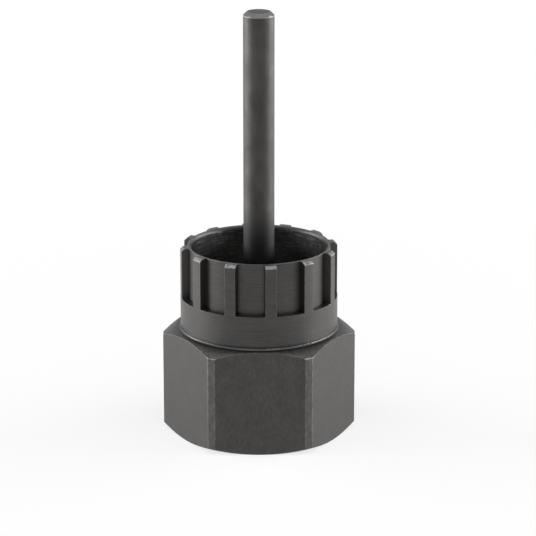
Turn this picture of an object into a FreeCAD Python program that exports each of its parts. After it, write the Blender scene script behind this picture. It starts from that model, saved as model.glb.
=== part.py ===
"""Cassette lockring tool: a splined socket with a hex for the wrench, and a guide pin.

The tool stands on its base with the ring of splines facing up. The origin is the centre
of the base face, +Z runs along the tool's axis towards the pin's tip, and one flat of the
hex faces -Y. All lengths are in millimetres and all angles in degrees.
"""

import FreeCAD, Part
import math
import os

import Sketcher

VECTOR = FreeCAD.Vector
CENTRE = VECTOR(0, 0, 0)
UP = VECTOR(0, 0, 1)
FULL_TURN = 360.0
HALF_TURN = FULL_TURN / 2
HEX_SIDES = 6
HALF_SIDE_ANGLE = HALF_TURN / HEX_SIDES
CUTS = ("PartDesign::Pocket", "PartDesign::Groove")

# How a sketch numbers the points of a line or arc, its own axes and its origin
START, END, MIDDLE = 1, 2, 3
ACROSS_AXIS = -1
UP_AXIS = -2
ORIGIN = (ACROSS_AXIS, START)

# Driving dimensions, as alias, value and meaning
DIMENSIONS = [
    ("hex_across_flats", 25.4, "wrench size, one inch"),
    ("hex_height", 15.875, "base face to the shoulder, five eighths of an inch"),
    ("hex_corner_trim", 0.315, "how much is turned off the sharp corners of the hex"),
    ("hex_edge_radius", 0.12, "upright edges of the hex, worn by wrenches"),
    ("shoulder_chamfer_inset", 0.15, "start of the top chamfer, inside the flats"),
    ("shoulder_chamfer_angle", 30.0, "slope of the chamfer on top of the hex"),
    ("base_chamfer_inset", 0.1, "start of the bottom chamfer, inside the flats"),
    ("base_chamfer_angle", 27.0, "slope of the chamfer under the hex"),
    ("collar_diameter", 23.4, "collar, and the circle over the splines"),
    ("collar_height", 5.0, "shoulder to the ledge where the splines start"),
    ("collar_foot_radius", 0.3, "corner between the collar and the shoulder"),
    ("spline_length", 7.7, "ledge to the rim"),
    ("spline_count", 12.0, "splines round the ring"),
    ("spline_width", 1.65, "width between a spline's parallel sides"),
    ("spline_height", 1.1, "how far a spline stands out of the ring"),
    ("spline_turn", 8.0, "first spline, counter-clockwise from +X"),
    ("spline_lead_in", 0.4, "chamfer on the end of each spline"),
    ("ring_wall", 0.6, "wall between two splines, out to the gap's floor"),
    ("cup_depth", 18.0, "rim to the floor of the cup"),
    ("cup_floor_radius", 0.8, "corner between the cup's wall and its floor"),
    ("cup_lip_width", 0.35, "chamfer at the mouth of the cup, across the rim"),
    ("cup_lip_depth", 0.5, "the same chamfer, down the wall of the cup"),
    ("pin_diameter", 4.6, "guide pin, where a hub's hollow axle slides over it"),
    ("pin_tenon_diameter", 4.0, "foot of the pin, and the hole that it is pressed into"),
    ("pin_projection", 35.1, "rim to the tip of the pin"),
    ("pin_tip_chamfer", 0.5, "chamfer on the tip of the pin"),
    ("pin_foot_recess", 0.5, "base face up to the lower end of the tenon"),
    ("pin_foot_chamfer", 0.3, "chamfer on the lower end of the tenon"),
    ("pin_hole_chamfer", 0.4, "chamfer at the pin hole's mouth in the base"),
]

# Heights above the base face
SHOULDER = "Sizes.hex_height"
LEDGE = SHOULDER + " + Sizes.collar_height"
RIM = LEDGE + " + Sizes.spline_length"
CUP_FLOOR = RIM + " - Sizes.cup_depth"

# Heights on the pin, above its lower end
PIN_SEAT = CUP_FLOOR + " - Sizes.pin_foot_recess"
PIN_LENGTH = RIM + " + Sizes.pin_projection - Sizes.pin_foot_recess"

# Radii about the tool's axis
AXIS = "0"
FLAT_REACH = "Sizes.hex_across_flats / 2"
CORNER = FLAT_REACH + " / cos(%g) - Sizes.hex_corner_trim" % HALF_SIDE_ANGLE
SHOULDER_FACE = FLAT_REACH + " - Sizes.shoulder_chamfer_inset"
BASE_FACE = FLAT_REACH + " - Sizes.base_chamfer_inset"
COLLAR = "Sizes.collar_diameter / 2"
GAP_FLOOR = COLLAR + " - Sizes.spline_height"
CUP_WALL = GAP_FLOOR + " - Sizes.ring_wall"
PIN = "Sizes.pin_diameter / 2"
TENON = "Sizes.pin_tenon_diameter / 2"

# Drops of the two chamfers at the hex corners
SHOULDER_DROP = "(%s - (%s)) * tan(Sizes.shoulder_chamfer_angle)" % (CORNER, SHOULDER_FACE)
BASE_DROP = "(%s - (%s)) * tan(Sizes.base_chamfer_angle)" % (CORNER, BASE_FACE)


def make_sheet(doc):
    """Write every driving dimension to the sheet as a plain number with an alias."""
    sheet = doc.addObject("Spreadsheet::Sheet", "Sizes")
    for row, (alias, value, meaning) in enumerate(DIMENSIONS, start=1):
        sheet.set("A%d" % row, alias)
        sheet.set("B%d" % row, str(value))
        sheet.set("C%d" % row, meaning)
        sheet.setAlias("B%d" % row, alias)
    doc.recompute()


def origin_feature(body, role):
    """Give one of the body's own origin planes or axes."""
    for feature in body.Origin.OriginFeatures:
        if feature.Role == role:
            return feature
    raise ValueError("no origin feature " + role)


def make_sketch(body, name, role):
    """Attach a new sketch to one of the body's origin planes."""
    sketch = body.newObject("Sketcher::SketchObject", name)
    sketch.AttachmentSupport = [(origin_feature(body, role), "")]
    sketch.MapMode = "FlatFace"
    return sketch


def size_of(obj, expression):
    """Work an expression on the sheet out to a number."""
    return float(obj.evalExpression(expression))


def on_circle(radius, angle):
    """Give the point of a sketch at a radius and an angle, in radians."""
    return VECTOR(radius * math.cos(angle), radius * math.sin(angle), 0)


def add_constraints(sketch, entries):
    """Add constraints that have no size of their own."""
    for entry in entries:
        sketch.addConstraint(Sketcher.Constraint(*entry))


def drive(sketch, name, expression, *constraint):
    """Add a dimension to a sketch, name it and tie it to the sheet."""
    value = size_of(sketch, expression)
    index = sketch.addConstraint(Sketcher.Constraint(*constraint, value))
    sketch.renameConstraint(index, name)
    sketch.setExpression("Constraints." + name, expression)


def drive_angle(sketch, name, expression, line):
    """Set a line's angle from the sketch's X axis and tie it to the sheet."""
    angle = math.radians(size_of(sketch, expression))
    index = sketch.addConstraint(Sketcher.Constraint("Angle", line, angle))
    sketch.renameConstraint(index, name)
    sketch.setExpression("Constraints." + name, expression)


def hold_point(sketch, name, geometry, point, across, up):
    """Hold a point at two driven distances from the sketch's origin, or on an axis."""
    for kind, axis, ending, expression in (
        ("DistanceX", UP_AXIS, "_across", across),
        ("DistanceY", ACROSS_AXIS, "_up", up),
    ):
        if expression == AXIS:
            sketch.addConstraint(Sketcher.Constraint("PointOnObject", geometry, point, axis))
        else:
            drive(sketch, name + ending, expression, kind, *ORIGIN, geometry, point)


def draw_section(sketch, corners):
    """Draw a closed half section, radius across and height up, from its named corners.

    A corner is its name, radius and height. A fourth entry turns the side that leads to
    the next corner into a quarter round of that radius, whose centre is straight above
    the corner that it leaves and level with the next one.
    """
    points = []
    for corner in corners:
        points.append(VECTOR(size_of(sketch, corner[1]), size_of(sketch, corner[2]), 0))
    sides = []
    for index, corner in enumerate(corners):
        start = points[index]
        end = points[(index + 1) % len(points)]
        if len(corner) == 3:
            sides.append(sketch.addGeometry(Part.LineSegment(start, end), False))
            continue
        centre = VECTOR(start.x, end.y, 0)
        outward = (start + end - centre * 2).normalize()
        middle = centre + outward * size_of(sketch, corner[3])
        sides.append(sketch.addGeometry(Part.Arc(start, middle, end), False))
    for index, corner in enumerate(corners):
        previous = sides[index - 1]
        this = sides[index]
        previous_end = end_point(sketch, previous, points[index])
        this_start = end_point(sketch, this, points[index])
        sketch.addConstraint(Sketcher.Constraint("Coincident", previous, previous_end, this, this_start))
        hold_point(sketch, corner[0], this, this_start, corner[1], corner[2])
        if len(corner) > 3:
            drive(sketch, corner[0] + "_round", corner[3], "Radius", this)


def end_point(sketch, geometry, place):
    """Tell which end of a line or arc lies at a place."""
    start = sketch.getPoint(geometry, START)
    end = sketch.getPoint(geometry, END)
    return START if start.distanceToPoint(place) < end.distanceToPoint(place) else END


def revolve(body, kind, name, sketch):
    """Turn a half section about the tool's axis, as added or removed material."""
    feature = body.newObject(kind, name)
    feature.Profile = sketch
    feature.ReferenceAxis = (sketch, ["V_Axis"])
    feature.Angle = FULL_TURN


def pocket_up(body, name, sketch):
    """Remove a sketch's area from its plane upwards."""
    pocket = body.newObject("PartDesign::Pocket", name)
    pocket.Profile = sketch
    pocket.Reversed = True
    return pocket


def turn_hex_blank(body):
    """Turn the round blank of the hex, with a chamfer at each end."""
    sketch = make_sketch(body, "HexBlankSection", "XZ_Plane")
    draw_section(sketch, [
        ("base_centre", AXIS, AXIS),
        ("base_rim", BASE_FACE, AXIS),
        ("corner_foot", CORNER, BASE_DROP),
        ("corner_top", CORNER, SHOULDER + " - " + SHOULDER_DROP),
        ("shoulder_rim", SHOULDER_FACE, SHOULDER),
        ("shoulder_centre", AXIS, SHOULDER),
    ])
    revolve(body, "PartDesign::Revolution", "HexBlank", sketch)


def mill_hex_flats(body):
    """Mill the six flats: all that lies outside a hexagon goes."""
    sketch = make_sketch(body, "HexFlatsOutline", "XY_Plane")
    across_flats = size_of(sketch, "Sizes.hex_across_flats")
    corner_reach = across_flats / 2 / math.cos(math.radians(HALF_SIDE_ANGLE))
    corners = []
    for index in range(HEX_SIDES):
        corners.append(on_circle(corner_reach, math.radians(FULL_TURN / HEX_SIDES * (index + 1))))
    sides = []
    for index, corner in enumerate(corners):
        side = Part.LineSegment(corner, corners[(index + 1) % HEX_SIDES])
        sides.append(sketch.addGeometry(side, False))
    guide = sketch.addGeometry(Part.Circle(CENTRE, UP, corner_reach), True)
    outer = sketch.addGeometry(Part.Circle(CENTRE, UP, across_flats), False)
    add_constraints(sketch, [
        ("Coincident", guide, MIDDLE, *ORIGIN),
        ("Coincident", outer, MIDDLE, *ORIGIN),
        ("Horizontal", sides[0]),
    ])
    for index, side in enumerate(sides):
        add_constraints(sketch, [
            ("Coincident", sides[index - 1], END, side, START),
            ("PointOnObject", side, START, guide),
        ])
    for side in sides[1:]:
        add_constraints(sketch, [("Equal", sides[0], side)])
    drive(sketch, "flat_reach", FLAT_REACH, "DistanceY", *ORIGIN, sides[0], START)
    drive(sketch, "cutter_reach", "Sizes.hex_across_flats", "Radius", outer)
    flats = pocket_up(body, "HexFlats", sketch)
    flats.setExpression("Length", SHOULDER)


def turn_collar(body):
    """Turn the collar and the blank of the splines on top of the shoulder."""
    sketch = make_sketch(body, "CollarSection", "XZ_Plane")
    foot = "Sizes.collar_foot_radius"
    lead_in = "Sizes.spline_lead_in"
    draw_section(sketch, [
        ("foot_centre", AXIS, SHOULDER),
        ("foot_start", COLLAR + " + " + foot, SHOULDER, foot),
        ("foot_end", COLLAR, SHOULDER + " + " + foot),
        ("lead_in_start", COLLAR, RIM + " - " + lead_in),
        ("lead_in_end", COLLAR + " - " + lead_in, RIM),
        ("rim_centre", AXIS, RIM),
    ])
    revolve(body, "PartDesign::Revolution", "Collar", sketch)


def bore_cup(body):
    """Bore the cup inside the splines, with a chamfered lip and a rounded floor corner."""
    sketch = make_sketch(body, "CupSection", "XZ_Plane")
    corner = "Sizes.cup_floor_radius"
    draw_section(sketch, [
        ("floor_centre", AXIS, CUP_FLOOR),
        ("floor_end", CUP_WALL + " - " + corner, CUP_FLOOR, corner),
        ("wall_foot", CUP_WALL, CUP_FLOOR + " + " + corner),
        ("wall_top", CUP_WALL, RIM + " - Sizes.cup_lip_depth"),
        ("lip_end", CUP_WALL + " + Sizes.cup_lip_width", RIM),
        ("mouth_centre", AXIS, RIM),
    ])
    revolve(body, "PartDesign::Groove", "Cup", sketch)


def drill_pin_hole(body):
    """Drill the hole for the pin's tenon from the base into the cup, mouth chamfered."""
    sketch = make_sketch(body, "PinHoleSection", "XZ_Plane")
    chamfer = "Sizes.pin_hole_chamfer"
    draw_section(sketch, [
        ("mouth_centre", AXIS, AXIS),
        ("mouth_rim", TENON + " + " + chamfer, AXIS),
        ("hole_foot", TENON, chamfer),
        ("hole_top", TENON, CUP_FLOOR),
        ("top_centre", AXIS, CUP_FLOOR),
    ])
    revolve(body, "PartDesign::Groove", "PinHole", sketch)


def outline_spline_gap(body):
    """Draw the gap between two splines, as it is seen along the tool's axis.

    The sketch's X axis runs through the middle of the gap. Each wall of the gap is
    parallel to the centreline of its own spline, half a spline's width away from it.
    """
    sketch = make_sketch(body, "SplineGapOutline", "XY_Plane")
    half_pitch = "%g / Sizes.spline_count" % HALF_TURN
    half_width = "Sizes.spline_width / 2"
    past_collar = COLLAR + " + Sizes.spline_height"
    sketch.setExpression("AttachmentOffset.Base.z", LEDGE)
    sketch.setExpression("AttachmentOffset.Rotation.Angle", "Sizes.spline_turn + " + half_pitch)
    spline_angle = math.radians(size_of(sketch, half_pitch))
    corners = []
    arcs = []
    for reach in (GAP_FLOOR, past_collar):
        radius = size_of(sketch, reach)
        angle = spline_angle - math.asin(size_of(sketch, half_width) / radius)
        corners.append((on_circle(radius, angle), on_circle(radius, -angle)))
        arc = Part.ArcOfCircle(Part.Circle(CENTRE, UP, radius), -angle, angle)
        arcs.append(sketch.addGeometry(arc, False))
    floor_arc, outer_arc = arcs
    walls = []
    for inner, outer in zip(*corners):
        walls.append(sketch.addGeometry(Part.LineSegment(inner, outer), False))
    left_wall, right_wall = walls
    far_point = on_circle(size_of(sketch, past_collar), spline_angle)
    spline_line = sketch.addGeometry(Part.LineSegment(CENTRE, far_point), True)
    add_constraints(sketch, [
        ("Coincident", floor_arc, MIDDLE, *ORIGIN),
        ("Coincident", outer_arc, MIDDLE, *ORIGIN),
        ("Coincident", left_wall, START, floor_arc, END),
        ("Coincident", left_wall, END, outer_arc, END),
        ("Coincident", right_wall, START, floor_arc, START),
        ("Coincident", right_wall, END, outer_arc, START),
        ("Vertical", left_wall, START, right_wall, START),
        ("Vertical", left_wall, END, right_wall, END),
        ("Coincident", spline_line, START, *ORIGIN),
        ("PointOnObject", spline_line, END, outer_arc),
        ("Parallel", left_wall, spline_line),
    ])
    drive(sketch, "gap_floor", GAP_FLOOR, "Radius", floor_arc)
    drive(sketch, "cutter_reach", past_collar, "Radius", outer_arc)
    drive(sketch, "half_width", half_width, "Distance", left_wall, START, spline_line)
    drive_angle(sketch, "half_pitch", half_pitch, spline_line)
    return sketch


def cut_spline_gaps(body):
    """Cut the gap between two splines and repeat it round the ring."""
    gap = pocket_up(body, "SplineGap", outline_spline_gap(body))
    gap.setExpression("Length", "Sizes.spline_length")
    pattern = body.newObject("PartDesign::PolarPattern", "SplineGaps")
    pattern.Originals = [gap]
    pattern.Axis = (origin_feature(body, "Z_Axis"), [""])
    pattern.Angle = FULL_TURN
    pattern.setExpression("Occurrences", "Sizes.spline_count")
    body.Tip = pattern


def is_upright(edge):
    """Tell whether an edge is a straight line along the tool's axis."""
    ends = [vertex.Point for vertex in edge.Vertexes]
    return math.isclose(abs(ends[-1].z - ends[0].z), edge.Length)


def soften_hex_edges(body):
    """Round the upright edges of the hex."""
    hex_solid = body.Tip
    edges = []
    for number, edge in enumerate(hex_solid.Shape.Edges, start=1):
        if is_upright(edge):
            edges.append("Edge%d" % number)
    fillet = body.newObject("PartDesign::Fillet", "HexEdges")
    fillet.Base = (hex_solid, edges)
    fillet.setExpression("Radius", "Sizes.hex_edge_radius")


def make_socket(doc):
    """Make the one-piece body of the tool, in the order in which it is machined."""
    body = doc.addObject("PartDesign::Body", "SplinedSocket")
    body.Label = "splined_socket"
    turn_hex_blank(body)
    mill_hex_flats(body)
    doc.recompute()
    soften_hex_edges(body)
    turn_collar(body)
    bore_cup(body)
    drill_pin_hole(body)
    cut_spline_gaps(body)
    return body


def make_pin(doc):
    """Turn the guide pin, whose shoulder sits on the cup's floor over a pressed tenon."""
    body = doc.addObject("PartDesign::Body", "GuidePin")
    body.Label = "guide_pin"
    body.setExpression("Placement.Base.z", "Sizes.pin_foot_recess")
    sketch = make_sketch(body, "PinSection", "XZ_Plane")
    foot = "Sizes.pin_foot_chamfer"
    tip = "Sizes.pin_tip_chamfer"
    draw_section(sketch, [
        ("foot_centre", AXIS, AXIS),
        ("foot_rim", TENON + " - " + foot, AXIS),
        ("tenon_foot", TENON, foot),
        ("tenon_top", TENON, PIN_SEAT),
        ("shoulder_edge", PIN, PIN_SEAT),
        ("shank_top", PIN, PIN_LENGTH + " - " + tip),
        ("tip_rim", PIN + " - " + tip, PIN_LENGTH),
        ("tip_centre", AXIS, PIN_LENGTH),
    ])
    revolve(body, "PartDesign::Revolution", "Pin", sketch)
    return body


def check_document(doc, bodies):
    """Stop if an object failed, a cut removed nothing or a piece isn't one valid solid."""
    for obj in doc.Objects:
        if "Invalid" in obj.State or "Error" in obj.State:
            raise RuntimeError("failed to build: " + obj.Label)
        if obj.TypeId in CUTS and obj.Shape.Volume >= obj.BaseFeature.Shape.Volume:
            raise RuntimeError("removed nothing: " + obj.Label)
    for body in bodies:
        shape = body.Shape
        if shape.isNull() or not shape.isValid() or len(shape.Solids) != 1:
            raise RuntimeError("not one valid solid: " + body.Label)


def main():
    doc = FreeCAD.newDocument("CassetteLockringTool")
    make_sheet(doc)
    bodies = [make_socket(doc), make_pin(doc)]
    doc.recompute()
    check_document(doc, bodies)
    os.makedirs("parts", exist_ok=True)
    for body in bodies:
        body.Shape.exportStep("parts/%s.step" % body.Label)
        print(body.Label, round(body.Shape.Volume, 3), "cubic millimetres")


main()
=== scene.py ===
"""Cassette lockring tool in black oxide steel, standing on a pale studio floor.

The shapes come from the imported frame. This script gives them broken edges, finishes
with machining lines and wear, and sets up the floor, the lights and the camera.
"""

import math

import bpy
from bpy.props import FloatProperty, FloatVectorProperty, PointerProperty
from mathutils import Euler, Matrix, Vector


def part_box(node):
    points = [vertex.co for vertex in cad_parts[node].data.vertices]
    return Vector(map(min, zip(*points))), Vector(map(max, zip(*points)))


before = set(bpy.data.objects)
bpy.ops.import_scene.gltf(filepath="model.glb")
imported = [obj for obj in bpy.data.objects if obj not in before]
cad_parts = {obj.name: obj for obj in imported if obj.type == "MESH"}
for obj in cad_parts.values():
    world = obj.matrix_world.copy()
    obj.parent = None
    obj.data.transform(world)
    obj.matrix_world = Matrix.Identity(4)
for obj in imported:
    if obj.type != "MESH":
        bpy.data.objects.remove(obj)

bl_info = {
    "name": "Cassette lockring tool",
    "version": (1, 0, 0),
    "blender": (4, 5, 0),
    "location": "View3D > Sidebar > Lockring tool",
    "description": "Finishes and stage for a splined socket with a guide pin",
    "category": "Object",
}

MM = 0.001
SOCKET = "splined_socket"
PIN = "guide_pin"

# Places on the tool, whose base face is at z = 0 and whose axis is the z axis
_, SOCKET_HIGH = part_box(SOCKET)
_, PIN_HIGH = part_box(PIN)
RIM = SOCKET_HIGH.z
PIN_TIP = PIN_HIGH.z
PIN_RADIUS = PIN_HIGH.x
FLAT_REACH = SOCKET_HIGH.y
CORNER_REACH = SOCKET_HIGH.x
SHOULDER = 15.875 * MM
SHOULDER_FACE = 12.55 * MM
SHOULDER_SLOPE = math.tan(math.radians(30))
EVEN_SLOPE = 1.0  # of the splines' lead-ins and the pin's tip, cut at 45 degrees
FOOT_RADIUS = 0.3 * MM
LEDGE = 20.875 * MM
COLLAR_RADIUS = 11.7 * MM
ROOT_RADIUS = 10.6 * MM
CUP_RADIUS = 10.0 * MM
CUP_FLOOR = RIM - 18.0 * MM
LIP_RADIUS = 10.35 * MM
LIP_DEPTH = 0.5 * MM
LEAD_IN = 0.4 * MM
TIP_CHAMFER = 0.5 * MM
SPLINE_HALF_WIDTH = 0.825 * MM
SPLINE_TURN = math.radians(8)
SPLINE_PITCH = math.radians(30)
FLAT_TURN = math.radians(30)
FLAT_PITCH = math.radians(60)

# Edges that fold more than this are rounded, so a chamfer of 45 degrees is rounded too
SHARP_FOLD = math.radians(44.5)

# Sizes of the patterns' marks. Those of 0.3 mm and less are drawn about twice as coarse
# as the real ones, which are too fine to show.
LINE_SIZE = 0.16 * MM
GRAIN_SIZE = 0.3 * MM
SPECK_SIZE = 0.15 * MM
RUB_SIZE = 0.6 * MM
CLOUD_SIZE = 1.5 * MM
BLOTCH_SIZE = 2.5 * MM
SPLINE_LUCK_SIZE = 4.0 * MM

# How near a point is to a face's own height or distance to count as on that face
FLAT_SKIN = 0.1 * MM
CONE_SKIN = 0.1 * MM
SHOULDER_SKIN = 0.05 * MM
LEAD_IN_SKIN = 0.12 * MM

# Painted shade along the collar's foot, and darker lines on the lip's chamfer and the rim's
# top face: how far each line reaches, and how dark it is at most
FOOT_PAINTED_SHADE = (0.32 * MM, 0.7)
LIP_DARK_LINE = (0.35 * MM, 0.7)
RIM_DARK_LINE = (0.3 * MM, 0.4)

# Worn edges: how far the wear reaches from each, and how bare it is at most
HEX_LAND_WEAR = (0.1 * MM, 0.15)
HEX_EDGE_WEAR = (0.05 * MM, 0.45)
HEX_TOP_WEAR = (0.2 * MM, 1.0)
SPLINE_EDGE_WEAR = (0.1 * MM, 0.25)
LIP_EDGE_WEAR = (0.12 * MM, 0.15)
RING_EDGE_WEAR = (0.12 * MM, 0.2)
PIN_CHAMFER_WEAR = (0.35 * MM, 0.35)
PIN_TIP_WEAR = (0.22 * MM, 0.6)
PIN_SIDE_WEAR = (0.15 * MM, 0.6)

# The stage, in metres from the middle of the tool's base. The floor lies just under
# the base face, so that the two don't share a plane.
FLOOR_SIZE = 6.0
FLOOR_GAP = 0.01 * MM
SIDE_LIGHT_AWAY = 0.47
SIDE_LIGHT_BEHIND = 0.08
SIDE_LIGHT_HEIGHT = 0.08
SIDE_LIGHT_SIZE = (0.45, 0.14)
TOP_LIGHT_PLACE = (0, -0.25, 0.6)
TOP_LIGHT_SIZE = (1.2, 0.45)

# The camera, in radians: how far it stands round to the left of the front, how far it
# looks past the tool's axis, and how far it looks down
CAMERA_ROUND = 0.0128
CAMERA_PAST_AXIS = 0.0033
CAMERA_PITCH = 0.2952


def linear(hex_colour):
    """Turn an sRGB hex colour into linear values with alpha."""
    values = []
    for start in (1, 3, 5):
        channel = int(hex_colour[start:start + 2], 16) / 255
        if channel <= 0.04045:
            values.append(channel / 12.92)
        else:
            values.append(((channel + 0.055) / 1.055) ** 2.4)
    return (*values, 1.0)


WHITE = (1, 1, 1, 1)
SHADED_PAPER = linear("#C0C0C0")
SEEN_PAPER = linear("#F4F4F4")


class ToolFinish(bpy.types.PropertyGroup):
    """Colours and wear of the steel."""

    oxide: FloatVectorProperty(
        name="Oxide",
        description="Colour of the black oxide",
        subtype="COLOR", size=4, min=0, max=1, default=linear("#4F4D4C"),
    )
    thick_oxide: FloatVectorProperty(
        name="Thick oxide",
        description="Colour in the troughs of the machining lines",
        subtype="COLOR", size=4, min=0, max=1, default=linear("#3D3C3B"),
    )
    # Painted shade: this colour darkens the socket's inner corners, the shoulder round the
    # collar and the collar's foot, the cup's wall under the rim and the pin down in the
    # cup, and it draws darker lines on the lip and the rim's top face
    shade_and_dark_lines: FloatVectorProperty(
        name="Painted shade and dark lines",
        description="Colour of what the oxide bath leaves where it drains slowly",
        subtype="COLOR", size=4, min=0, max=1, default=linear("#262627"),
    )
    bare_steel: FloatVectorProperty(
        name="Bare steel",
        description="Colour where the oxide is worn thin",
        subtype="COLOR", size=4, min=0, max=1, default=linear("#A09F9C"),
    )
    edge_round: FloatProperty(
        name="Edge rounding",
        description="Width of the broken edges",
        subtype="DISTANCE", unit="LENGTH", min=0, max=0.3 * MM, default=0.08 * MM,
    )
    wear: FloatProperty(
        name="Wear",
        description="How far the oxide is worn off the edges",
        subtype="FACTOR", min=0, max=1, default=0.7,
    )
    line_depth: FloatProperty(
        name="Line depth",
        description="Depth of the machining lines",
        subtype="DISTANCE", unit="LENGTH", min=0, max=0.1 * MM, default=0.003 * MM,
    )


class ToolStage(bpy.types.PropertyGroup):
    """Lights, floor and camera."""

    side_power: FloatProperty(
        name="Side lights",
        description="Power of each soft light beside the tool",
        subtype="POWER", unit="POWER", min=0, default=4.1,
    )
    top_power: FloatProperty(
        name="Top light",
        description="Power of the soft light above the tool",
        subtype="POWER", unit="POWER", min=0, default=3.5,
    )
    surround: FloatProperty(
        name="Surround",
        description="Strength of the soft light from all round on matt surfaces",
        min=0, default=0.05,
    )
    camera_distance: FloatProperty(
        name="Camera distance",
        description="Level distance from the tool's axis to the camera",
        subtype="DISTANCE", unit="LENGTH", min=0.1, default=407.2 * MM,
    )
    camera_height: FloatProperty(
        name="Camera height",
        description="Height of the camera above the floor",
        subtype="DISTANCE", unit="LENGTH", min=0.01, default=148.7 * MM,
    )
    lens: FloatProperty(
        name="Lens",
        description="Focal length for a sensor 36 mm wide",
        subtype="DISTANCE_CAMERA", min=20, max=400, default=192.3,
    )


def add_node(tree, kind, inputs=None, **settings):
    """Add a node with its settings, and set or link its inputs by name or number."""
    node = tree.nodes.new(kind)
    for name, value in settings.items():
        setattr(node, name, value)
    for key, value in (inputs or {}).items():
        if isinstance(value, bpy.types.NodeSocket):
            tree.links.new(value, node.inputs[key])
        else:
            node.inputs[key].default_value = value
    return node


def deselect_all():
    """Leave nothing selected, so that an operator acts on what is selected next."""
    bpy.ops.object.select_all(action="DESELECT")


def pick(piece):
    """Make one object the only selected one and the active one."""
    deselect_all()
    piece.select_set(True)
    bpy.context.view_layer.objects.active = piece


def new_material(name):
    """Add an empty node material and give it with its node tree."""
    material = bpy.data.materials.new(name)
    material.use_nodes = True
    material.node_tree.nodes.clear()
    return material, material.node_tree


def set_finish(piece, material):
    """Make a material the only one that a frame node has."""
    piece.data.materials.clear()
    piece.data.materials.append(material)


def break_edges(piece, width):
    """Join the frame's triangles and round their sharp edges, as live modifiers."""
    pick(piece)
    bpy.ops.object.shade_smooth()
    bpy.ops.object.modifier_add(type="WELD")
    weld = piece.modifiers[-1]
    weld.merge_threshold = 0.0001 * MM
    bpy.ops.object.modifier_add(type="BEVEL")
    bevel = piece.modifiers[-1]
    bevel.width = width
    bevel.segments = 3
    bevel.limit_method = "ANGLE"
    bevel.angle_limit = SHARP_FOLD
    bpy.ops.object.modifier_add(type="WEIGHTED_NORMAL")
    normals = piece.modifiers[-1]
    normals.mode = "FACE_AREA_WITH_ANGLE"
    deselect_all()


def add_places(tree):
    """Give the nodes that say where on the tool a point is: axes, radius and angle."""
    places = add_node(tree, "ShaderNodeTexCoord")
    axes = add_node(tree, "ShaderNodeSeparateXYZ", {0: places.outputs["Object"]})
    level = add_node(
        tree, "ShaderNodeVectorMath", {0: places.outputs["Object"], 1: (1, 1, 0)},
        operation="MULTIPLY",
    )
    radius = add_node(
        tree, "ShaderNodeVectorMath", {0: level.outputs[0]}, operation="LENGTH",
    )
    angle = add_node(
        tree, "ShaderNodeMath", {0: axes.outputs["Y"], 1: axes.outputs["X"]},
        operation="ARCTAN2",
    )
    return {
        "object": places.outputs["Object"],
        "x": axes.outputs["X"],
        "y": axes.outputs["Y"],
        "z": axes.outputs["Z"],
        "radius": radius.outputs["Value"],
        "angle": angle.outputs[0],
    }


def own_side(tree, here, middle, pitch):
    """Give how far out and how far aside a point is, in the frame of its own repeat.

    The repeats stand round the axis one pitch apart, and one is turned to the middle.
    """
    turned = add_node(
        tree, "ShaderNodeMath", {0: here["angle"], 1: middle - pitch / 2},
        operation="SUBTRACT",
    )
    wrapped = add_node(
        tree, "ShaderNodeMath", {0: turned.outputs[0], 1: pitch},
        operation="FLOORED_MODULO",
    )
    centred = add_node(
        tree, "ShaderNodeMath", {0: wrapped.outputs[0], 1: pitch / 2}, operation="SUBTRACT",
    )
    reaches = []
    for operation in ("COSINE", "SINE"):
        share = add_node(
            tree, "ShaderNodeMath", {0: centred.outputs[0]}, operation=operation,
        )
        reach = add_node(
            tree, "ShaderNodeMath", {0: share.outputs[0], 1: here["radius"]},
            operation="MULTIPLY",
        )
        reaches.append(reach.outputs[0])
    out, to_a_side = reaches
    aside = add_node(tree, "ShaderNodeMath", {0: to_a_side}, operation="ABSOLUTE")
    return out, aside.outputs[0]


def cone_height(tree, here, start, slope):
    """Give the height that a cone through the point has at the radius where it starts."""
    past = add_node(
        tree, "ShaderNodeMath", {0: here["radius"], 1: start}, operation="SUBTRACT",
    )
    height = add_node(
        tree, "ShaderNodeMath", {0: past.outputs[0], 1: slope, 2: here["z"]},
        operation="MULTIPLY_ADD",
    )
    return height.outputs[0]


def near(tree, value, place, reach, most=1.0):
    """Give the most where a value is at its place, falling smoothly to 0 within reach."""
    away = add_node(tree, "ShaderNodeMath", {0: value, 1: place}, operation="SUBTRACT")
    distance = add_node(tree, "ShaderNodeMath", {0: away.outputs[0]}, operation="ABSOLUTE")
    closeness = add_node(
        tree, "ShaderNodeMapRange",
        {
            "Value": distance.outputs[0], "From Min": reach, "From Max": 0.0,
            "To Max": most,
        },
        interpolation_type="SMOOTHSTEP",
    )
    return closeness.outputs[0]


def close_to_both(tree, first, second, reach, most):
    """Mark a thin line close to two places at once, such as an edge of two faces."""
    line = add_node(
        tree, "ShaderNodeMath",
        {0: near(tree, *first, reach), 1: near(tree, *second, reach, most)},
        operation="MULTIPLY",
    )
    return line.outputs[0]


def strongest(tree, marks):
    """Give the strongest of several marks at each point."""
    result = marks[0]
    for mark in marks[1:]:
        larger = add_node(tree, "ShaderNodeMath", {0: result, 1: mark}, operation="MAXIMUM")
        result = larger.outputs[0]
    return result


def stretched_noise(tree, place, size, across=1.0, along=1.0, detail=2.0):
    """Give a soft pattern of marks of one size.

    A share below 1 draws the marks out that way: across the tool's axis, or along it.
    """
    scaled = add_node(
        tree, "ShaderNodeVectorMath", {0: place, 1: (across, across, along)},
        operation="MULTIPLY",
    )
    noise = add_node(
        tree, "ShaderNodeTexNoise",
        {"Vector": scaled.outputs[0], "Scale": 1 / size, "Detail": detail},
    )
    return noise.outputs[0]


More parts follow.
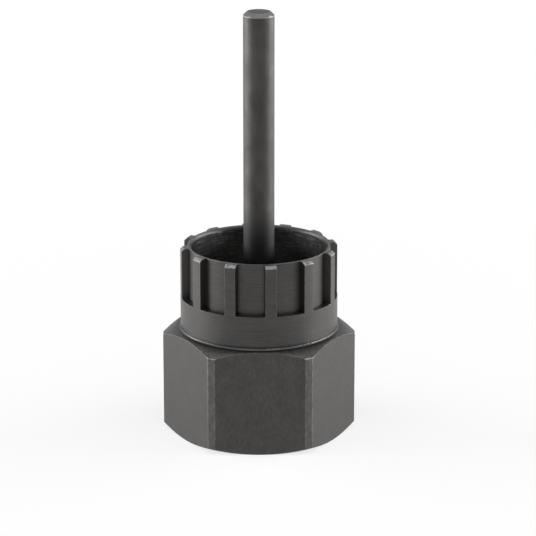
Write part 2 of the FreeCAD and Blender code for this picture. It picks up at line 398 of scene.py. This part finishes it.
def turning_lines(tree, here):
    """Fine lines left by a lathe tool: level on walls, and rings on faces.

    The real lines are 0.1 to 0.2 mm apart, too fine to show. Here a line and the gap
    beside it take two marks of the pattern, so they are about twice as far apart.
    """
    # Steeper than any cone that falls outwards, so that cones and level faces get rings
    rise_with_radius = 1.37
    feed = add_node(
        tree, "ShaderNodeMath", {0: here["radius"], 1: rise_with_radius, 2: here["z"]},
        operation="MULTIPLY_ADD",
    )
    place = add_node(
        tree, "ShaderNodeCombineXYZ",
        {"X": here["x"], "Y": here["y"], "Z": feed.outputs[0]},
    )
    return stretched_noise(tree, place.outputs[0], LINE_SIZE, across=0.05)


def finish_oxide(tree, finish, pattern, shade_and_dark_lines, worn, roughness):
    """Join the oxide's pattern, its painted shade and darker lines, and its worn places
    into one shader.
    """
    sheen_swing = 0.05
    oxide = add_node(
        tree, "ShaderNodeMix",
        {0: pattern, 6: tuple(finish.thick_oxide), 7: tuple(finish.oxide)},
        data_type="RGBA",
    )
    shaded = add_node(
        tree, "ShaderNodeMix",
        {0: shade_and_dark_lines, 6: oxide.outputs[2], 7: tuple(finish.shade_and_dark_lines)},
        data_type="RGBA",
    )
    colour = add_node(
        tree, "ShaderNodeMix",
        {0: worn, 6: shaded.outputs[2], 7: tuple(finish.bare_steel)},
        data_type="RGBA",
    )
    sheen = add_node(
        tree, "ShaderNodeMapRange",
        {
            "Value": pattern, "To Min": roughness + sheen_swing,
            "To Max": roughness - sheen_swing,
        },
    )
    rounded = add_node(tree, "ShaderNodeBevel", {"Radius": finish.edge_round}, samples=6)
    bump = add_node(
        tree, "ShaderNodeBump",
        {
            "Height": pattern, "Distance": finish.line_depth, "Strength": 1.0,
            "Normal": rounded.outputs[0],
        },
    )
    shader = add_node(
        tree, "ShaderNodeBsdfPrincipled",
        {
            "Base Color": colour.outputs[2], "Metallic": 1.0,
            "Roughness": sheen.outputs[0], "Normal": bump.outputs[0],
        },
    )
    add_node(tree, "ShaderNodeOutputMaterial", {"Surface": shader.outputs[0]})


def inside_cup(tree, here):
    """Mark the cup's wall and floor, and nothing under that floor."""
    wall_margin = 0.05 * MM
    floor_margin = 0.1 * MM
    inside = add_node(
        tree, "ShaderNodeMath", {0: here["radius"], 1: CUP_RADIUS + wall_margin},
        operation="LESS_THAN",
    )
    over_floor = add_node(
        tree, "ShaderNodeMath", {0: here["z"], 1: CUP_FLOOR - floor_margin},
        operation="GREATER_THAN",
    )
    both = add_node(
        tree, "ShaderNodeMath", {0: inside.outputs[0], 1: over_floor.outputs[0]},
        operation="MULTIPLY",
    )
    return both.outputs[0]


def add_socket_places(tree):
    """Give a point's places, and how it lies to the flats, splines, top cone and cup."""
    here = add_places(tree)
    here["flat_out"], _ = own_side(tree, here, FLAT_TURN, FLAT_PITCH)
    _, here["spline_aside"] = own_side(tree, here, SPLINE_TURN, SPLINE_PITCH)
    here["top_cone"] = cone_height(tree, here, SHOULDER_FACE, SHOULDER_SLOPE)
    here["in_cup"] = inside_cup(tree, here)
    return here


def socket_pattern(tree, here, lines):
    """Lay grain on the milled flats, lines on what was turned, and blotches over both."""
    blotch_share = 0.5
    darkest, lightest = 0.3, 1.2
    grain = stretched_noise(tree, here["object"], GRAIN_SIZE, along=0.4)
    on_flat = near(tree, here["flat_out"], FLAT_REACH, FLAT_SKIN)
    machined = add_node(
        tree, "ShaderNodeMix", {0: on_flat, 2: lines, 3: grain}, data_type="FLOAT",
    )
    blotches = stretched_noise(tree, here["object"], BLOTCH_SIZE)
    both = add_node(
        tree, "ShaderNodeMath", {0: blotches, 1: blotch_share, 2: machined.outputs[0]},
        operation="MULTIPLY_ADD",
    )
    contrast = add_node(
        tree, "ShaderNodeMapRange",
        {"Value": both.outputs[0], "From Min": darkest, "From Max": lightest},
    )
    return contrast.outputs[0]


def painted_corner_shade(tree, here):
    """Paint shade into the inner corners above the collar's foot, by how closed in a point
    is.
    """
    reach = 0.7 * MM
    still_open, most_closed = 0.75, 0.4
    hidden = add_node(
        tree, "ShaderNodeAmbientOcclusion", {"Distance": reach}, samples=8, only_local=True,
    )
    corners = add_node(
        tree, "ShaderNodeMapRange",
        {"Value": hidden.outputs["AO"], "From Min": still_open, "From Max": most_closed},
    )
    over_foot = add_node(
        tree, "ShaderNodeMath", {0: here["z"], 1: SHOULDER + FOOT_RADIUS / 10},
        operation="GREATER_THAN",
    )
    shade_in_corners = add_node(
        tree, "ShaderNodeMath", {0: corners.outputs[0], 1: over_foot.outputs[0]},
        operation="MULTIPLY",
    )
    return shade_in_corners.outputs[0]


def painted_shoulder_shade(tree, here):
    """Paint shade on the shoulder and its cone round the collar, as the collar's dark
    reflection, less and less further out.
    """
    shade_end = COLLAR_RADIUS + 2.2 * MM
    shade_full = COLLAR_RADIUS + 0.4 * MM
    darkness = 0.75
    shoulder_top = strongest(tree, [
        near(tree, here["top_cone"], SHOULDER, CONE_SKIN),
        near(tree, here["z"], SHOULDER, SHOULDER_SKIN),
    ])
    round_collar = add_node(
        tree, "ShaderNodeMapRange",
        {
            "Value": here["radius"], "From Min": shade_end, "From Max": shade_full,
            "To Max": darkness,
        },
        interpolation_type="SMOOTHSTEP",
    )
    shade = add_node(
        tree, "ShaderNodeMath", {0: shoulder_top, 1: round_collar.outputs[0]},
        operation="MULTIPLY",
    )
    return shade.outputs[0]


def painted_shade_under_rim(tree, here):
    """Paint shade on the top of the cup's wall under the rim, less and less further down.
    """
    shade_end = RIM - 3.5 * MM
    shade_full = RIM - 0.8 * MM
    darkness = 0.9
    under_rim = add_node(
        tree, "ShaderNodeMapRange",
        {
            "Value": here["z"], "From Min": shade_end, "From Max": shade_full,
            "To Max": darkness,
        },
        interpolation_type="SMOOTHSTEP",
    )
    cup_wall = add_node(
        tree, "ShaderNodeMath", {0: here["in_cup"], 1: under_rim.outputs[0]},
        operation="MULTIPLY",
    )
    return cup_wall.outputs[0]


def socket_shade_and_dark_lines(tree, here):
    """Mark where the socket is painted darker: shade in the inner corners, round the
    collar, along its foot and under the cup's rim, and darker lines on the lip's chamfer
    and the rim's top face.
    """
    foot = (here["z"], SHOULDER + FOOT_RADIUS), (here["radius"], COLLAR_RADIUS)
    lip_middle = (CUP_RADIUS + LIP_RADIUS) / 2
    lip_face = (here["z"], RIM - LIP_DEPTH / 2), (here["radius"], lip_middle)
    rim_middle = (LIP_RADIUS + ROOT_RADIUS) / 2
    rim_face = (here["z"], RIM), (here["radius"], rim_middle)
    return strongest(tree, [
        painted_corner_shade(tree, here),
        painted_shade_under_rim(tree, here),
        painted_shoulder_shade(tree, here),
        close_to_both(tree, *foot, *FOOT_PAINTED_SHADE),
        close_to_both(tree, *lip_face, *LIP_DARK_LINE),
        close_to_both(tree, *rim_face, *RIM_DARK_LINE),
    ])


def worn_spline_ends(tree, here):
    """Mark the lead-ins at the splines' ends, some of them more worn than others."""
    least_luck, most_luck = 0.42, 0.58
    least_worn, most_worn = 0.3, 0.8
    ring_margin = 0.3 * MM
    lead_in = cone_height(tree, here, COLLAR_RADIUS - LEAD_IN, EVEN_SLOPE)
    luck = stretched_noise(tree, here["object"], SPLINE_LUCK_SIZE, along=0.0, detail=0.0)
    end_wear = add_node(
        tree, "ShaderNodeMapRange",
        {
            "Value": luck, "From Min": least_luck, "From Max": most_luck,
            "To Min": least_worn, "To Max": most_worn,
        },
    )
    past_root = add_node(
        tree, "ShaderNodeMath", {0: here["radius"], 1: ROOT_RADIUS + ring_margin},
        operation="GREATER_THAN",
    )
    outer_wear = add_node(
        tree, "ShaderNodeMath", {0: end_wear.outputs[0], 1: past_root.outputs[0]},
        operation="MULTIPLY",
    )
    spline_end = add_node(
        tree, "ShaderNodeMath",
        {0: near(tree, lead_in, RIM, LEAD_IN_SKIN), 1: outer_wear.outputs[0]},
        operation="MULTIPLY",
    )
    return spline_end.outputs[0]


def cup_scratches(tree, here, lines):
    """Mark the cup's turning lines that stand proud, where the oxide has rubbed thin."""
    first_worn, fully_worn = 0.52, 0.7
    least_worn, most_worn = 0.06, 0.7
    scratches = add_node(
        tree, "ShaderNodeMapRange",
        {
            "Value": lines, "From Min": first_worn, "From Max": fully_worn,
            "To Min": least_worn, "To Max": most_worn,
        },
    )
    in_cup = add_node(
        tree, "ShaderNodeMath", {0: scratches.outputs[0], 1: here["in_cup"]},
        operation="MULTIPLY",
    )
    return in_cup.outputs[0]


def cone_specks(tree, here):
    """Mark fine worn specks on the cone at the top of the hex."""
    first_worn, fully_worn = 0.45, 0.65
    most_worn = 0.2
    specks = stretched_noise(tree, here["object"], SPECK_SIZE)
    worn_specks = add_node(
        tree, "ShaderNodeMapRange",
        {
            "Value": specks, "From Min": first_worn, "From Max": fully_worn,
            "To Max": most_worn,
        },
    )
    on_cone = add_node(
        tree, "ShaderNodeMath",
        {
            0: near(tree, here["top_cone"], SHOULDER, CONE_SKIN),
            1: worn_specks.outputs[0],
        },
        operation="MULTIPLY",
    )
    return on_cone.outputs[0]


def socket_wear(tree, here, lines, wear):
    """Mark the socket's worn edges and faces, broken up as handling leaves them."""
    least_rubbed, most_rubbed = 0.35, 0.6
    least_worn = 0.3
    flat = (here["flat_out"], FLAT_REACH)
    corner = (here["radius"], CORNER_REACH)
    cone = (here["top_cone"], SHOULDER)
    spline_side = (here["spline_aside"], SPLINE_HALF_WIDTH)
    rim = (here["z"], RIM)
    lip = (here["radius"], LIP_RADIUS)
    ring_edge = (here["radius"], ROOT_RADIUS)
    # The collar below the ledge is as wide as the splines, and has no such edges
    over_ledge = add_node(
        tree, "ShaderNodeMath", {0: here["z"], 1: LEDGE}, operation="GREATER_THAN",
    )
    above_ledge = add_node(
        tree, "ShaderNodeMath", {0: here["radius"], 1: over_ledge.outputs[0]},
        operation="MULTIPLY",
    )
    spline_land = (above_ledge.outputs[0], COLLAR_RADIUS)
    marks = strongest(tree, [
        near(tree, *corner, *HEX_LAND_WEAR),
        close_to_both(tree, flat, corner, *HEX_EDGE_WEAR),
        close_to_both(tree, cone, corner, *HEX_TOP_WEAR),
        close_to_both(tree, spline_land, spline_side, *SPLINE_EDGE_WEAR),
        close_to_both(tree, rim, lip, *LIP_EDGE_WEAR),
        close_to_both(tree, rim, ring_edge, *RING_EDGE_WEAR),
        cup_scratches(tree, here, lines),
        cone_specks(tree, here),
        worn_spline_ends(tree, here),
    ])
    rub = stretched_noise(tree, here["object"], RUB_SIZE, along=0.6)
    rubbed = add_node(
        tree, "ShaderNodeMapRange",
        {
            "Value": rub, "From Min": least_rubbed, "From Max": most_rubbed,
            "To Min": least_worn,
        },
    )
    worn = add_node(
        tree, "ShaderNodeMath", {0: marks, 1: rubbed.outputs[0]}, operation="MULTIPLY",
    )
    share = add_node(
        tree, "ShaderNodeMath", {0: worn.outputs[0], 1: wear}, operation="MULTIPLY",
    )
    return share.outputs[0]


def make_socket_steel(finish):
    """Black oxide on turned and milled steel: a thin dark layer with a satin sheen.

    The eye sees a dark grey, brighter where it turns to a light, with fine lines round
    what was turned and a fine grain on the milled flats. Shade is painted darker in the
    inner corners, round the collar and under the cup's rim, and darker lines are painted on
    the lip and the rim's top. It has rubbed through to bare steel on the splines' ends and
    along the edges, and thinly on the cone and in the cup.
    """
    material, tree = new_material("black oxide on turned and milled steel")
    here = add_socket_places(tree)
    lines = turning_lines(tree, here)
    pattern = socket_pattern(tree, here, lines)
    shade_and_dark_lines = socket_shade_and_dark_lines(tree, here)
    worn = socket_wear(tree, here, lines, finish.wear)
    finish_oxide(tree, finish, pattern, shade_and_dark_lines, worn, roughness=0.44)
    return material


def make_pin_steel(finish):
    """Black oxide on ground steel rod: even and smooth, with a soft satin sheen.

    The eye sees a dark grey that runs to light along both sides, faint clouds, bare
    steel on the tip's chamfer and its two edges, and painted shade down in the cup.
    """
    darkest, lightest = 0.3, 1.1
    shade_start = RIM + 6.5 * MM
    material, tree = new_material("black oxide on ground steel rod")
    here = add_places(tree)
    clouds = stretched_noise(tree, here["object"], CLOUD_SIZE, along=0.5)
    contrast = add_node(
        tree, "ShaderNodeMapRange",
        {"Value": clouds, "From Min": darkest, "From Max": lightest},
    )
    tip = (here["z"], PIN_TIP)
    tip_edge = (here["radius"], PIN_RADIUS - TIP_CHAMFER)
    tip_cone = cone_height(tree, here, PIN_RADIUS - TIP_CHAMFER, EVEN_SLOPE)
    chamfer = (tip_cone, PIN_TIP)
    chamfer_middle = (here["z"], PIN_TIP - TIP_CHAMFER / 2)
    chamfer_foot = (here["z"], PIN_TIP - TIP_CHAMFER)
    side = (here["radius"], PIN_RADIUS)
    marks = strongest(tree, [
        close_to_both(tree, chamfer, chamfer_middle, *PIN_CHAMFER_WEAR),
        close_to_both(tree, tip, tip_edge, *PIN_TIP_WEAR),
        close_to_both(tree, chamfer_foot, side, *PIN_SIDE_WEAR),
    ])
    worn = add_node(
        tree, "ShaderNodeMath", {0: marks, 1: finish.wear}, operation="MULTIPLY",
    )
    # Painted shade: the pin darkens as it goes down into the cup
    pin_shade_in_cup = add_node(
        tree, "ShaderNodeMapRange",
        {"Value": here["z"], "From Min": shade_start, "From Max": RIM},
        interpolation_type="SMOOTHSTEP",
    )
    finish_oxide(
        tree, finish, contrast.outputs[0], pin_shade_in_cup.outputs[0], worn.outputs[0],
        roughness=0.54,
    )
    return material


class LOCKRING_OT_finish_socket(bpy.types.Operator):
    """Break the socket's edges and give it its machined black oxide finish"""

    bl_idname = "lockring.finish_socket"
    bl_label = "Finish the socket"

    def execute(self, context):
        finish = context.scene.lockring_finish
        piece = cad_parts[SOCKET]
        break_edges(piece, finish.edge_round)
        set_finish(piece, make_socket_steel(finish))
        return {"FINISHED"}


class LOCKRING_OT_finish_pin(bpy.types.Operator):
    """Break the pin's edges and give it its ground black oxide finish"""

    bl_idname = "lockring.finish_pin"
    bl_label = "Finish the guide pin"

    def execute(self, context):
        finish = context.scene.lockring_finish
        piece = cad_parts[PIN]
        break_edges(piece, finish.edge_round)
        set_finish(piece, make_pin_steel(finish))
        return {"FINISHED"}


def add_soft_light(name, place, size, power):
    """Add a rectangular soft light that faces the middle of the tool."""
    middle = Vector((0, 0, PIN_TIP / 2))
    turn = (middle - Vector(place)).to_track_quat("-Z", "Y").to_euler()
    bpy.ops.object.light_add(type="AREA", location=place, rotation=turn)
    light = bpy.context.object
    light.name = name
    light.data.shape = "RECTANGLE"
    light.data.size, light.data.size_y = size
    light.data.energy = power
    deselect_all()


def seen_directly(tree):
    """Give a value of 1 for what the camera sees, directly or in metal or glass."""
    path = add_node(tree, "ShaderNodeLightPath")
    either = add_node(
        tree, "ShaderNodeMath",
        {0: path.outputs["Is Camera Ray"], 1: path.outputs["Is Glossy Ray"]},
        operation="MAXIMUM",
    )
    any_of_three = add_node(
        tree, "ShaderNodeMath",
        {0: either.outputs[0], 1: path.outputs["Is Transmission Ray"]},
        operation="MAXIMUM",
    )
    return any_of_three.outputs[0]


def make_floor_paper():
    """Matte white studio paper: even, pale, with no sheen, and lit through further out.

    It keeps the tool's shadow where the glow is not yet full. The light that it throws
    back on the tool is that of a greyer paper.
    """
    glow_start, glow_full = 20 * MM, 120 * MM
    glow_at_tool = 0.75
    material, tree = new_material("matte white studio paper")
    here = add_places(tree)
    seen = seen_directly(tree)
    tone = add_node(
        tree, "ShaderNodeMix", {0: seen, 6: SHADED_PAPER, 7: SEEN_PAPER},
        data_type="RGBA",
    )
    paper = add_node(tree, "ShaderNodeBsdfDiffuse", {"Color": tone.outputs[2]})
    glow = add_node(tree, "ShaderNodeEmission", {"Color": WHITE, "Strength": 1.0})
    spread = add_node(
        tree, "ShaderNodeMapRange",
        {
            "Value": here["radius"], "From Min": glow_start, "From Max": glow_full,
            "To Min": glow_at_tool,
        },
    )
    share = add_node(
        tree, "ShaderNodeMath", {0: seen, 1: spread.outputs[0]}, operation="MULTIPLY",
    )
    mixed = add_node(
        tree, "ShaderNodeMixShader",
        {0: share.outputs[0], 1: paper.outputs[0], 2: glow.outputs[0]},
    )
    add_node(tree, "ShaderNodeOutputMaterial", {"Surface": mixed.outputs[0]})
    return material


class LOCKRING_OT_set_stage(bpy.types.Operator):
    """Add the floor, the soft lights, the white surround and the camera"""

    bl_idname = "lockring.set_stage"
    bl_label = "Set the stage"

    def execute(self, context):
        stage = context.scene.lockring_stage
        self.add_floor()
        self.add_lights(stage)
        self.add_surround(context.scene, stage)
        self.add_camera(context.scene, stage)
        return {"FINISHED"}

    def add_floor(self):
        bpy.ops.mesh.primitive_plane_add(size=FLOOR_SIZE, location=(0, 0, -FLOOR_GAP))
        floor = bpy.context.object
        floor.name = "floor"
        floor.data.materials.append(make_floor_paper())
        deselect_all()

    def add_lights(self, stage):
        for side, name in ((-1, "left light"), (1, "right light")):
            place = (side * SIDE_LIGHT_AWAY, SIDE_LIGHT_BEHIND, SIDE_LIGHT_HEIGHT)
            add_soft_light(name, place, SIDE_LIGHT_SIZE, stage.side_power)
        add_soft_light("top light", TOP_LIGHT_PLACE, TOP_LIGHT_SIZE, stage.top_power)

    def add_surround(self, scene, stage):
        world = bpy.data.worlds.new("white studio")
        world.use_nodes = True
        tree = world.node_tree
        tree.nodes.clear()
        strength = add_node(
            tree, "ShaderNodeMapRange",
            {"Value": seen_directly(tree), "To Min": stage.surround, "To Max": 1.0},
        )
        white = add_node(
            tree, "ShaderNodeBackground",
            {"Color": WHITE, "Strength": strength.outputs[0]},
        )
        add_node(tree, "ShaderNodeOutputWorld", {"Surface": white.outputs[0]})
        scene.world = world

    def add_camera(self, scene, stage):
        place = (
            -stage.camera_distance * math.sin(CAMERA_ROUND),
            -stage.camera_distance * math.cos(CAMERA_ROUND),
            stage.camera_height,
        )
        heading = CAMERA_ROUND + CAMERA_PAST_AXIS
        turn = Euler((math.pi / 2 - CAMERA_PITCH, 0, -heading))
        bpy.ops.object.camera_add(location=place, rotation=turn)
        camera = bpy.context.object
        camera.name = "camera"
        camera.data.sensor_width = 36
        camera.data.lens = stage.lens
        camera.data.clip_start = 0.01
        scene.camera = camera
        scene.view_settings.view_transform = "Standard"
        deselect_all()


class LOCKRING_PT_panel(bpy.types.Panel):
    """Sizes, colours and steps of the tool's picture"""

    bl_label = "Lockring tool"
    bl_idname = "LOCKRING_PT_panel"
    bl_space_type = "VIEW_3D"
    bl_region_type = "UI"
    bl_category = "Lockring tool"

    def draw(self, context):
        for group in (context.scene.lockring_finish, context.scene.lockring_stage):
            box = self.layout.box()
            for name in group.__annotations__:
                box.prop(group, name)
        for operator in OPERATORS:
            self.layout.operator(operator.bl_idname)


OPERATORS = (LOCKRING_OT_finish_socket, LOCKRING_OT_finish_pin, LOCKRING_OT_set_stage)
CLASSES = (ToolFinish, ToolStage, *OPERATORS, LOCKRING_PT_panel)


def register():
    for each in CLASSES:
        bpy.utils.register_class(each)
    bpy.types.Scene.lockring_finish = PointerProperty(type=ToolFinish)
    bpy.types.Scene.lockring_stage = PointerProperty(type=ToolStage)


def unregister():
    del bpy.types.Scene.lockring_stage
    del bpy.types.Scene.lockring_finish
    for each in reversed(CLASSES):
        bpy.utils.unregister_class(each)


def main():
    register()
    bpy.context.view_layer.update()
    bpy.ops.lockring.finish_socket()
    bpy.ops.lockring.finish_pin()
    bpy.ops.lockring.set_stage()
    bpy.context.view_layer.update()


if __name__ == "__main__":
    main()
